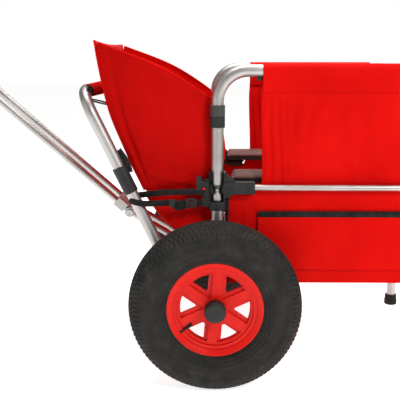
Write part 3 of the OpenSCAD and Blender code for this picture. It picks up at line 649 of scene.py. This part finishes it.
def stitches(name, path, out, body, length=3.2, gap=1.9):
    """A row of short thread stitches along a path."""
    total = sum((b - a).length for a, b in zip(path, path[1:])) * 1000
    count = int(total / (length + gap))
    points, faces = [], []
    lengths = np.cumsum([0] + [(b - a).length for a, b in zip(path, path[1:])])
    for n in range(count):
        s = (n + 0.5) / count * lengths[-1]
        k = min(int(np.searchsorted(lengths, s, side="right")) - 1, len(path) - 2)
        share = (s - lengths[k]) / max(lengths[k + 1] - lengths[k], 1e-9)
        centre = path[k].lerp(path[k + 1], share)
        run = (path[k + 1] - path[k]).normalized()
        wide = run.cross(out).normalized()
        base = len(points)
        for a, w, h in ((-1, -1, 0), (-1, 1, 0), (1, 1, 0), (1, -1, 0),
                        (-0.5, -0.6, 1), (-0.5, 0.6, 1), (0.5, 0.6, 1), (0.5, -0.6, 1)):
            points.append(centre + run * a * length / 2000 + wide * w * 0.0004 + out * (h * 0.0006 - 0.0002))
        faces += [[base + 3, base + 2, base + 1, base], [base + 4, base + 5, base + 6, base + 7]]
        for p, q in ((0, 1), (1, 2), (2, 3), (3, 0)):
            faces.append([base + p, base + q, base + 4 + q, base + 4 + p])
    piece = recalc(link_mesh(name, points, faces, smooth=False))
    dress(piece, RED_HEM)
    if body:
        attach(piece, body)
    return piece


def make_lower_panel(side):
    sg = SIDES[side]
    x1, x2 = LOWER_LOW[0], LOWER_HIGH[0]
    bottom, top = LOWER_LOW[2], LOWER_HIGH[2]
    notch = ROD_Z - 18

    def shape(u, v):
        x = x1 + (x2 - x1) * u
        rear, front = x < 96, x > FRONT_X + POST_X - 96
        high = notch if rear or front else top
        z = bottom + (high - bottom) * v
        calm = math.sin(math.pi * v) ** 0.5 * math.sin(math.pi * u) ** 0.35
        y = 1.5 + 2.6 * fold(z * 0.9, x * 1.4, 5.5 * sg) / 5 * calm + 4.5 * math.sin(math.pi * v) * calm
        return at(x, sg * (FRAME_Y + y * 0.8), z)

    piece = grid_sheet("tub_side_" + side, 110, 50, shape, CLOTH_T / 1000)
    dress(piece, RED)
    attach(piece, "frame")
    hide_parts("lower_panel_" + side)
    edge = ribbon("tub_edge_" + side, [at(x1 + 2, sg * (FRAME_Y + 1.5), bottom + (notch - bottom) * k / 20)
                                       for k in range(21)], lambda s: Vector((1, 0, 0)), 9, 3.6)
    dress(edge, WEBBING)
    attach(edge, "frame")


def make_pocket(side):
    sg = SIDES[side]
    x1, x2 = POCKET_LOW[0], POCKET_HIGH[0]
    bottom, top = POCKET_LOW[2], POCKET_HIGH[2]
    base = 7.0

    def out_of(u, v):
        belly = math.sin(math.pi * min(max(u, 0), 1)) ** 0.5
        drop = math.sin(math.pi * min(v * 0.92 + 0.04, 1)) ** 0.7
        x = x1 + (x2 - x1) * u
        return base + 4.4 * belly * drop + 1.3 * noise.noise(Vector((x / 34, v * 3.1, 2.2 * sg))) * belly

    def shape(u, v):
        return at(x1 + (x2 - x1) * u, sg * (FRAME_Y + out_of(u, v)), bottom + (top - 7 - bottom) * v)

    piece = grid_sheet("pocket_cloth_" + side, 80, 34, shape, CLOTH_T / 1000)
    dress(piece, RED)
    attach(piece, "frame")
    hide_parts("pocket_" + side)
    path = [at(x1 - 1 + (x2 - x1 + 2) * k / 60, sg * (FRAME_Y + out_of(k / 60, 1) + 0.6), top - 7)
            for k in range(61)]
    binding = ribbon("pocket_binding_" + side, path, lambda s: Vector((0, 0, 1)), 15, 3.4)
    dress(binding, WEBBING)
    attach(binding, "frame")
    for k, x in enumerate((x1 + 1.5, x2 - 1.5)):
        run = [at(x, sg * (FRAME_Y + base + 0.8), bottom + (top - bottom) * t / 12) for t in range(13)]
        tape = ribbon(f"pocket_tape_{side}_{k}", run, lambda s: Vector((1, 0, 0)), 7, 2.2)
        dress(tape, RED_HEM)
        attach(tape, "frame")


# ---- cloth: backrest, wings and bag ----------------------------------------------------------
BACK_CURVE = [(-168, 452), (-195, 510), (-209, 545), (-241, 627), (-257, 694), (-267, 753), (-273, 797)]
FRONT_CURVE = [(-22, 454), (8, 490), (22, 540), (17, 590), (5, 632), (-10, 668)]
TOP_BULGE = 15.0
FLARE = 27.0


def along_curve(points, share):
    """The x and height at a share of the way up a curve, eased through its points."""
    height = points[0][1] + (points[-1][1] - points[0][1]) * share
    path = smooth_path([Vector((p[0], 0, p[1])) for p in points], 12)
    heights = [p.z for p in path]
    return float(np.interp(height, heights, [p.x for p in path])), height


BACK_TABLE = [along_curve(BACK_CURVE, k / 80) for k in range(81)]
FRONT_TABLE = [along_curve(FRONT_CURVE, k / 80) for k in range(81)]


def lookup(table, share):
    place = share * 80
    k = min(int(place), 79)
    a, b = table[k], table[k + 1]
    t = place - k
    return a[0] + (b[0] - a[0]) * t, a[1] + (b[1] - a[1]) * t


def flare(x, z):
    """How far the cloth leans outwards at a height, more at the back than at the post."""
    rise = min(max((z - 470) / 320, 0), 1)
    near_post = min(max((-x - 10) / 110, 0), 1)
    return FLARE * rise ** 1.2 * near_post


HEM_SHARE = 0.045
HEM_TURN = 1.0   # how far the hem turns in, in millimetres
HEM_BEAD = 1.6   # how far its seam stands out


def wing_point(u, v, sg):
    """The wing cloth: v runs up, u from the backrest's edge to the rear post."""
    bx, bz = lookup(BACK_TABLE, v)
    fx, fz = lookup(FRONT_TABLE, v)
    x = bx + (fx - bx) * u
    z = bz + (fz - bz) * u + TOP_BULGE * math.sin(math.pi * u ** 1.25) * v ** 3
    tip = max(0, 1 - u / 0.07) * max(0, (v - 0.9) / 0.1)
    x += 7 * tip ** 1.5
    z -= 4 * tip ** 2
    belly = math.sin(math.pi * u) ** 0.8 * math.sin(math.pi * min(v * 0.9 + 0.1, 1)) * 9
    fade = min(1, 1.12 - v) * min(1, v * 3)
    crease = -9 * math.exp(-((u - 0.1 - 0.02 * v) / 0.022) ** 2) * fade
    crease += 4 * math.exp(-((u - 0.05) / 0.028) ** 2) * fade
    gather = 4 * math.exp(-((v - 0.15 + 0.13 * u) / 0.03) ** 2) * math.sin(math.pi * u)
    wrinkle = 3.8 * noise.noise(Vector((x / 95, z / 120, 4.0 * sg))) * math.sin(math.pi * u)
    soft = 1.6 * noise.noise(Vector((x / 34, z / 60, 2.0 * sg))) * math.sin(math.pi * u)
    low = 3.4 * noise.noise(Vector((x / 30, z / 14, 8.0 * sg))) * max(0, 1 - v * 3.2) * math.sin(math.pi * u)
    y = BAG_Y - 2 + flare(x, z) + belly + crease + gather + wrinkle + soft + low
    # the hem along the top turns in slightly, below a raised seam
    roll = max(0, (v - 1 + HEM_SHARE) / HEM_SHARE)
    y -= HEM_TURN * roll ** 2
    y += HEM_BEAD * math.exp(-((v - 1 + HEM_SHARE) / 0.008) ** 2)
    limit = FRAME_Y - TUBE_R - 3.5
    if x > -32:
        y = min(y, limit + (max(0, -x - 12)) * 0.6)
    return at(x, sg * y, z)


def make_wing(side):
    sg = SIDES[side]
    piece = grid_sheet("wing_cloth_" + side, 110, 120, lambda u, v: wing_point(u, v, sg), CLOTH_T / 1000)
    # the whole wing starts in the darker copy as painted shade; faces that look inwards then get the plain
    # red, so only the outer faces carry the painted shade
    dress(piece, RED_PAINTED_SHADE)
    bake_modifiers(piece)
    piece.data.materials.append(RED)
    for face in piece.data.polygons:
        face.material_index = 1 if face.normal.y * sg < 0 else 0
    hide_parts("wing_" + side)
    blend_wing(piece)
    hem = [wing_point(k / 70, 1, sg) for k in range(71)]
    rolled = cord_tube("wing_hem_" + side, hem, 2.1)
    dress(rolled, RED_HEM)
    blend_wing(rolled)
    front = [wing_point(1, k / 50, sg) for k in range(51)]
    edge = cord_tube("wing_front_hem_" + side, front, 1.7)
    dress(edge, RED_HEM)
    blend_wing(edge)


def blend_wing(piece):
    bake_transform(piece)


def make_back():
    """The padded backrest, a little slack between its side seams."""

    def shape(u, v):
        w = 2 * u - 1
        x, z = lookup(BACK_TABLE, v)
        half = BAG_Y - 2.4 + flare(x, z)
        sag = 7 * (1 - w * w) * math.sin(math.pi * (0.1 + 0.8 * v))
        top = 5 * (1 - w * w) * v ** 4
        ripple = 1.6 * noise.noise(Vector((w * 3.1, v * 2.2, 1.7)))
        return at(x - sag + ripple, half * w, z - top)

    piece = grid_sheet("back_cloth", 80, 80, shape, 0.0)
    solidify(piece, 0.0042, 0.6)
    dress(piece, RED)
    bake_modifiers(piece)
    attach(piece, "backrest")
    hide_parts("backrest_panel")
    hem = cord_tube("back_hem", [shape(k / 60, 1) for k in range(61)], 2.6)
    dress(hem, RED_HEM)
    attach(hem, "backrest")
    for side, sg in SIDES.items():
        piping = cord_tube("back_piping_" + side, [shape(0 if sg < 0 else 1, k / 70) for k in range(71)], 1.9)
        dress(piping, RED_HEM)
        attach(piping, "backrest")
    return shape


BAG_CURVE = [(-167, 440), (-150, 412), (-129, 384), (-99, 353), (-54, 308), (-12, 264)]


def make_bag():
    """Rear bag: a curved, sagging bottom that turns up into a gusset on each side."""
    end = (FLOOR_LOW[0] - 1, FLOOR_LOW[2] + 1)
    spine = smooth_path([Vector((x, 0, z)) for x, z in BAG_CURVE + [end]], 10)
    top = BAG_HIGH[2] + 9
    inner = 0.66

    def shape(u, v):
        place = v * (len(spine) - 1)
        k = min(int(place), len(spine) - 2)
        low = spine[k].lerp(spine[k + 1], place - k)
        w = 2 * u - 1
        if abs(w) <= inner:
            flat = w / inner
            x, z = low.x, low.z + 1 - 8 * (1 - flat * flat) * math.sin(math.pi * v)
            y = (BAG_Y - 6) * flat
        else:
            rise = (abs(w) - inner) / (1 - inner)
            x = low.x + 0.1 * rise * (-60 - low.x)
            z = low.z + 1 + (top - low.z - 1) * rise ** 1.1
            y = math.copysign(BAG_Y - 6 + 5 * min(1, rise * 4) ** 0.5, w)
            pucker = 3.2 * noise.noise(Vector((x / 20 + z / 44, z / 30, 6.1 + w)))
            y += math.copysign(pucker * math.sin(math.pi * rise) - 1, w)
        z += 2.6 * noise.noise(Vector((x / 36, y / 46, 3.7)))
        return at(x, y, z)

    piece = grid_sheet("bag_cloth", 81, 70, shape, CLOTH_T / 1000)
    dress(piece, RED)
    bake_modifiers(piece)
    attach(piece, "frame")
    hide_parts("rear_bag")


def make_floor_and_front():
    x1, x2 = FLOOR_LOW[0] - 1, FLOOR_HIGH[0]
    half = FLOOR_HIGH[1]

    def floor_shape(u, v):
        x, w = x1 + (x2 - x1) * u, 2 * v - 1
        sag = 3.2 * (1 - w * w) * math.sin(math.pi * u)
        return at(x, half * w, FLOOR_LOW[2] + 2.6 - sag + 0.8 * noise.noise(Vector((x / 60, w * 3, 1.1))))

    piece = grid_sheet("floor_cloth", 60, 50, floor_shape, CLOTH_T / 1000)
    dress(piece, RED)
    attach(piece, "frame")
    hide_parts("floor_sling")
    low, high = limits("front_panel")

    def front_shape(u, v):
        w = 2 * u - 1
        z = low[2] + (high[2] - low[2]) * v
        calm = math.sin(math.pi * u) ** 0.5
        x = high[0] - 1.5 + 5 * calm * math.sin(math.pi * v) + 0.4 * fold(w * 240, z, 2.0) * calm
        return at(x, high[1] * w, z)

    front = grid_sheet("front_cloth", 70, 40, front_shape, CLOTH_T / 1000)
    dress(front, RED)
    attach(front, "frame")
    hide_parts("front_panel")
    hem = cord_tube("front_hem", [front_shape(k / 50, 1) for k in range(51)], 3.0)
    dress(hem, WEBBING)
    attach(hem, "frame")


def make_crossbar_sleeve(back_shape):
    """Cloth sewn round the hoop's crossbar, with a web that joins it to the backrest."""
    half = CROSS_HIGH[1]
    r = TUBE_R + 1.4

    def shape(u, v):
        y = half * (2 * u - 1)
        turn = math.radians(-30 + 330 * min(v / 0.8, 1))
        pucker = 0.7 * noise.noise(Vector((y / 18, v * 6, 0.3)))
        if v <= 0.8:
            return at(CROSS_X + (r + pucker) * math.cos(turn), y, CROSS_Z + (r + pucker) * math.sin(turn))
        share = (v - 0.8) / 0.2
        start = at(CROSS_X + r * math.cos(turn), y, CROSS_Z + r * math.sin(turn))
        return start.lerp(back_shape(min(max(0.5 + y / (2 * BAG_Y), 0), 1), 0.66), share)

    piece = grid_sheet("crossbar_cloth", 90, 60, shape, 0.0013)
    dress(piece, RED)
    bake_modifiers(piece)
    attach(piece, "backrest")
    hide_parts("crossbar_sleeve")


# ---- straps, buckles and tabs ----------------------------------------------------------------
def leg_at(z, sg):
    """The centre of a hoop leg at a height."""
    return PIVOT_X - (z - PIVOT_Z) * math.tan(HOOP_LEAN), sg * FRAME_Y


def make_straps(side):
    sg = SIDES[side]
    loop_r = TUBE_R + 1.6
    lower_z, upper_z = ROD_Z - 37, ROD_Z - 11
    leg_x, leg_y = leg_at(lower_z + 4, sg)
    out_y = sg * (FRAME_Y + TUBE_R + 1)
    path = [at(BUCKLE_LOW[0] + 3, out_y, lower_z), at(-110, out_y, lower_z + 1), at(-160, out_y, lower_z - 1)]
    for degrees in range(80, 300, 20):
        turn = math.radians(degrees)
        path.append(at(leg_x + loop_r * math.cos(turn), leg_y + sg * loop_r * math.sin(turn),
                       lower_z + 2 + (degrees - 80) * 0.055))
    path += [at(-150, sg * (FRAME_Y - 5), upper_z - 7), at(-110, sg * (FRAME_Y + 8), upper_z - 1),
             at(-60, sg * (FRAME_Y + 13), upper_z + 1), at(POST_X - 30, sg * (FRAME_Y + 12), upper_z)]
    curve = smooth_path(path, 7)
    strap = ribbon("lean_strap_" + side, curve, lambda s: Vector((0.02, 0, 1)), 14.5, 1.9)
    dress(strap, WEBBING)
    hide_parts("strap_" + side)
    blend_strap(strap)
    tail = smooth_path([at(BUCKLE_LOW[0] + 1, out_y - sg * 1, lower_z - 4),
                        at(BUCKLE_LOW[0] - 10, out_y + sg * 2, lower_z - 8),
                        at(BUCKLE_LOW[0] - 20, out_y, lower_z - 9),
                        at(BUCKLE_LOW[0] - 28, out_y - sg * 3, lower_z - 6)], 6)
    loose = ribbon("strap_tail_" + side, tail, lambda s: Vector((0.1, 0.2, 1)), 14, 1.8)
    dress(loose, WEBBING)
    blend_strap(loose)
    slider = block("strap_slider_" + side, (-106, out_y - 3, lower_z - 9.5),
                   (-93, out_y + 3, lower_z + 9.5), 1.6)
    dress(slider, BLACK)
    blend_strap(slider)
    anchor = ribbon("strap_anchor_" + side, smooth_path([
        at(BUCKLE_HIGH[0] - 2, out_y - sg * 2, lower_z), at(BUCKLE_HIGH[0] + 10, out_y - sg * 4, lower_z + 1),
        at(POST_X - 37, sg * (FRAME_Y + 9), lower_z + 3)], 6), lambda s: Vector((0, 0, 1)), 14, 2.2)
    dress(anchor, WEBBING)
    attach(anchor, "frame")


def blend_strap(piece):
    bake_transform(piece)


def make_buckles():
    """Side-release buckles: a body with two spring prongs and a strap bar."""
    for side, sg in SIDES.items():
        x1, x2 = BUCKLE_LOW[0], BUCKLE_HIGH[0]
        z1, z2 = BUCKLE_LOW[2], BUCKLE_HIGH[2]
        y = sg * (FRAME_Y + TUBE_R + 0.5)
        parts = [((x1, y - 4.5, z1), (x1 + 9, y + 4.5, z2)),
                 ((x2 - 8, y - 4.2, z1 + 1), (x2, y + 4.2, z2 - 1)),
                 ((x1 + 7, y - 3.4, z1 - 1.5), (x2 - 6, y + 3.4, z1 + 4)),
                 ((x1 + 7, y - 3.4, z2 - 4), (x2 - 6, y + 3.4, z2 + 1.5)),
                 ((x1 + 7, y - 3, z1 + 7), (x2 - 6, y + 3, z2 - 7))]
        for k, (low, high) in enumerate(parts):
            piece = block(f"buckle_{side}_{k}", low, high, 1.3)
            dress(piece, BLACK)
            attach(piece, "frame")
    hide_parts("buckles")


def leg_frame(along, sg):
    """A point on a hoop leg's centre line and the direction that the leg runs."""
    run = Vector((-math.sin(HOOP_LEAN), 0, math.cos(HOOP_LEAN)))
    return at(PIVOT_X, sg * FRAME_Y, PIVOT_Z) + run * along / 1000, run


TAB_STANDOFF = 2.4   # webbing's clearance from the crossbar


def make_tabs(side):
    """Webbing tabs that hold the backrest cloth to the hoop."""
    sg = SIDES[side]
    # a long tab along the leg's inner side, above the sleeve
    centre, run = leg_frame(222, sg)
    front = Vector((math.cos(HOOP_LEAN), 0, math.sin(HOOP_LEAN)))
    path = [centre + run * k * 0.0065 + front * (0.0172 + 0.0035 * math.sin(k / 2.6)) for k in range(10)]
    strip = ribbon("leg_tab_" + side, path, lambda s: front, 16, 2.2)
    # two short tabs from the crossbar to the cloth
    made = [strip]
    for k, (y, reach) in enumerate(((FRAME_Y - 66, 0.62), (FRAME_Y - 34, 0.5))):
        x_back = float(np.interp(CROSS_Z - 26, [p[1] for p in BACK_CURVE], [p[0] for p in BACK_CURVE]))
        radius = TUBE_R + TAB_STANDOFF
        loop = [at(CROSS_X + radius * math.cos(math.radians(t)), sg * y,
                   CROSS_Z + radius * math.sin(math.radians(t))) for t in range(60, -91, -15)]
        loop += [at(CROSS_X + (x_back - CROSS_X) * reach, sg * y, CROSS_Z - 24),
                 at(x_back - 4, sg * y, CROSS_Z - 30)]
        made.append(ribbon(f"hoop_tab_{side}_{k}", smooth_path(loop, 3), lambda s: Vector((0, 1, 0)), 20, 2))
    for tab in made:
        dress(tab, WEBBING)
        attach(tab, "backrest")


# ---- armrests, clips and screws --------------------------------------------------------------
def make_arm_pad(side):
    """A crowned, glossy pad with rounded ends."""
    sg = SIDES[side]
    x1, x2 = PAD_LOW[0], PAD_HIGH[0]
    y_mid, half = sg * (PAD_LOW[1] + PAD_HIGH[1]) / 2, (PAD_HIGH[1] - PAD_LOW[1]) / 2
    base, crown = PAD_LOW[2], PAD_HIGH[2] - PAD_LOW[2]
    nu, nv = 70, 26
    points = []
    for i in range(nu):
        s = 2 * i / (nu - 1) - 1
        end = (1 - abs(s) ** 44) ** 0.5
        for j in range(nv):
            t = 2 * j / (nv - 1) - 1
            z = base + 2.5 * end + (crown - 2.5) * max(0, 1 - t * t) ** 0.8 * end ** 0.35
            points.append(at((x1 + x2) / 2 + s * (x2 - x1) / 2, y_mid + t * half * (0.93 + 0.07 * end), z))
    faces = grid_faces(nu, nv)
    low = len(points)
    for i in range(nu):
        s = 2 * i / (nu - 1) - 1
        for t in (-1, 1):
            points.append(at((x1 + x2) / 2 + s * (x2 - x1) / 2, y_mid + t * half, base + 0.1))
    for i in range(nu - 1):
        faces.append([i * nv, (i + 1) * nv, low + 2 * i + 2, low + 2 * i])
        faces.append([i * nv + nv - 1, low + 2 * i + 1, low + 2 * i + 3, (i + 1) * nv + nv - 1])
        faces.append([low + 2 * i, low + 2 * i + 2, low + 2 * i + 3, low + 2 * i + 1])
    for i in (0, nu - 1):
        faces.append([i * nv + j for j in range(nv)] + [low + 2 * i + 1, low + 2 * i])
    piece = recalc(link_mesh("arm_cushion_" + side, points, faces))
    dress(piece, PAD)
    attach(piece, "arm_" + side)
    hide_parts("arm_pad_" + side)


def make_trim(side):
    """Small fasteners and clips that the castings and rails carry."""
    sg = SIDES[side]
    face = sg * (FRAME_Y + 21)
    for k, (x, z) in enumerate(((POST_X + 34, ROD_Z), (POST_X + 74, ROD_Z), (FRONT_X - 34, ROD_Z))):
        screw = screw_head(f"casting_screw_{side}_{k}", at(x, face - sg * 0.4, z), 4.2, 2.6, sg)
        dress(screw, BLACK)
        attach(screw, "frame")
    clip = block("rail_clip_" + side, (UPPER_LOW[0] - 13, sg * (FRAME_Y - 6), RAIL_Z - TUBE_R - 9),
                 (UPPER_LOW[0] - 1, sg * (FRAME_Y + 6), RAIL_Z - TUBE_R + 2), 2)
    dress(clip, BLACK)
    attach(clip, "rail_" + side)


def make_grip():
    """Ribbed foam sleeve over the hand grip."""
    half = (GRIP_HIGH[1] - GRIP_LOW[1]) / 2
    angle = math.radians(41.6)
    centre = at(GRIP_LOW[0] + 16, 0, GRIP_HIGH[2] - 16)
    nu, nv = 150, 40
    points = []
    for i in range(nu):
        s = 2 * i / (nu - 1) - 1
        y = s * (half - 0.5)
        end = (1 - abs(s) ** 30) ** 0.5
        rib = 0.7 * math.cos(y / 4.2 * 2 * math.pi) if abs(s) < 0.86 else 0
        for j in range(nv):
            turn = 2 * math.pi * j / nv
            finger = 0.9 * math.cos(y / 22 * 2 * math.pi) * max(0, math.cos(turn + angle))
            r = (14.6 + rib + finger) * max(end, 0.02)
            points.append(centre + Vector((r * math.cos(turn), y, r * math.sin(turn))) / 1000)
    faces = grid_faces(nu, nv, closed_v=True)
    faces += [list(range(nv))[::-1], [len(points) - nv + k for k in range(nv)]]
    piece = recalc(link_mesh("grip_sleeve", points, faces))
    dress(piece, FOAM)
    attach(piece, "extension")


make_camera()
make_studio()
paint_cad_nodes()
back_shape = make_back()
make_bag()
make_floor_and_front()
make_crossbar_sleeve(back_shape)
make_buckles()
make_grip()
for side_name in SIDES:
    make_tyre(side_name)
    make_upper_panel(side_name)
    make_lower_panel(side_name)
    make_pocket(side_name)
    make_wing(side_name)
    make_straps(side_name)
    make_tabs(side_name)
    make_arm_pad(side_name)
    make_trim(side_name)
